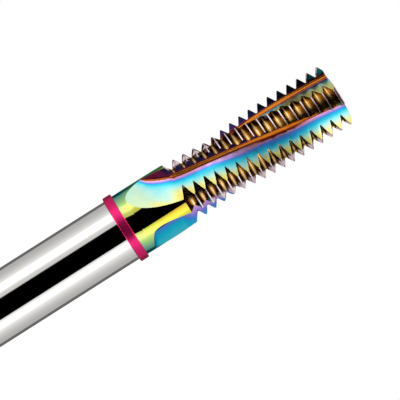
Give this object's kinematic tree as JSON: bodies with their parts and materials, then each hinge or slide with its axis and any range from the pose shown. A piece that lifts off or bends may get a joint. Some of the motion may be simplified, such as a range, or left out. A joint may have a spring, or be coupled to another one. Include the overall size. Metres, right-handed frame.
{
  "type": "thread mill",
  "caption": "Solid carbide thread mill: polished round shank, magenta colour ring, rainbow-coated head with right-hand helical flutes and annular V teeth.",
  "frame": {"origin": "centre of the flat shank end", "axes": "+Z along the tool axis towards the cutting tip; -Y faces the picture's camera; +X completes the right-handed frame"},
  "size_m": [0.013, 0.013, 0.09],
  "materials": {
    "carbide": "ground and polished; the head carries a thin rainbow-coloured coating",
    "ring_plastic": "smooth magenta plastic"
  },
  "bodies": {
    "root": {"tool_body": "carbide", "colour_ring": "ring_plastic"}
  },
  "joints": []
}
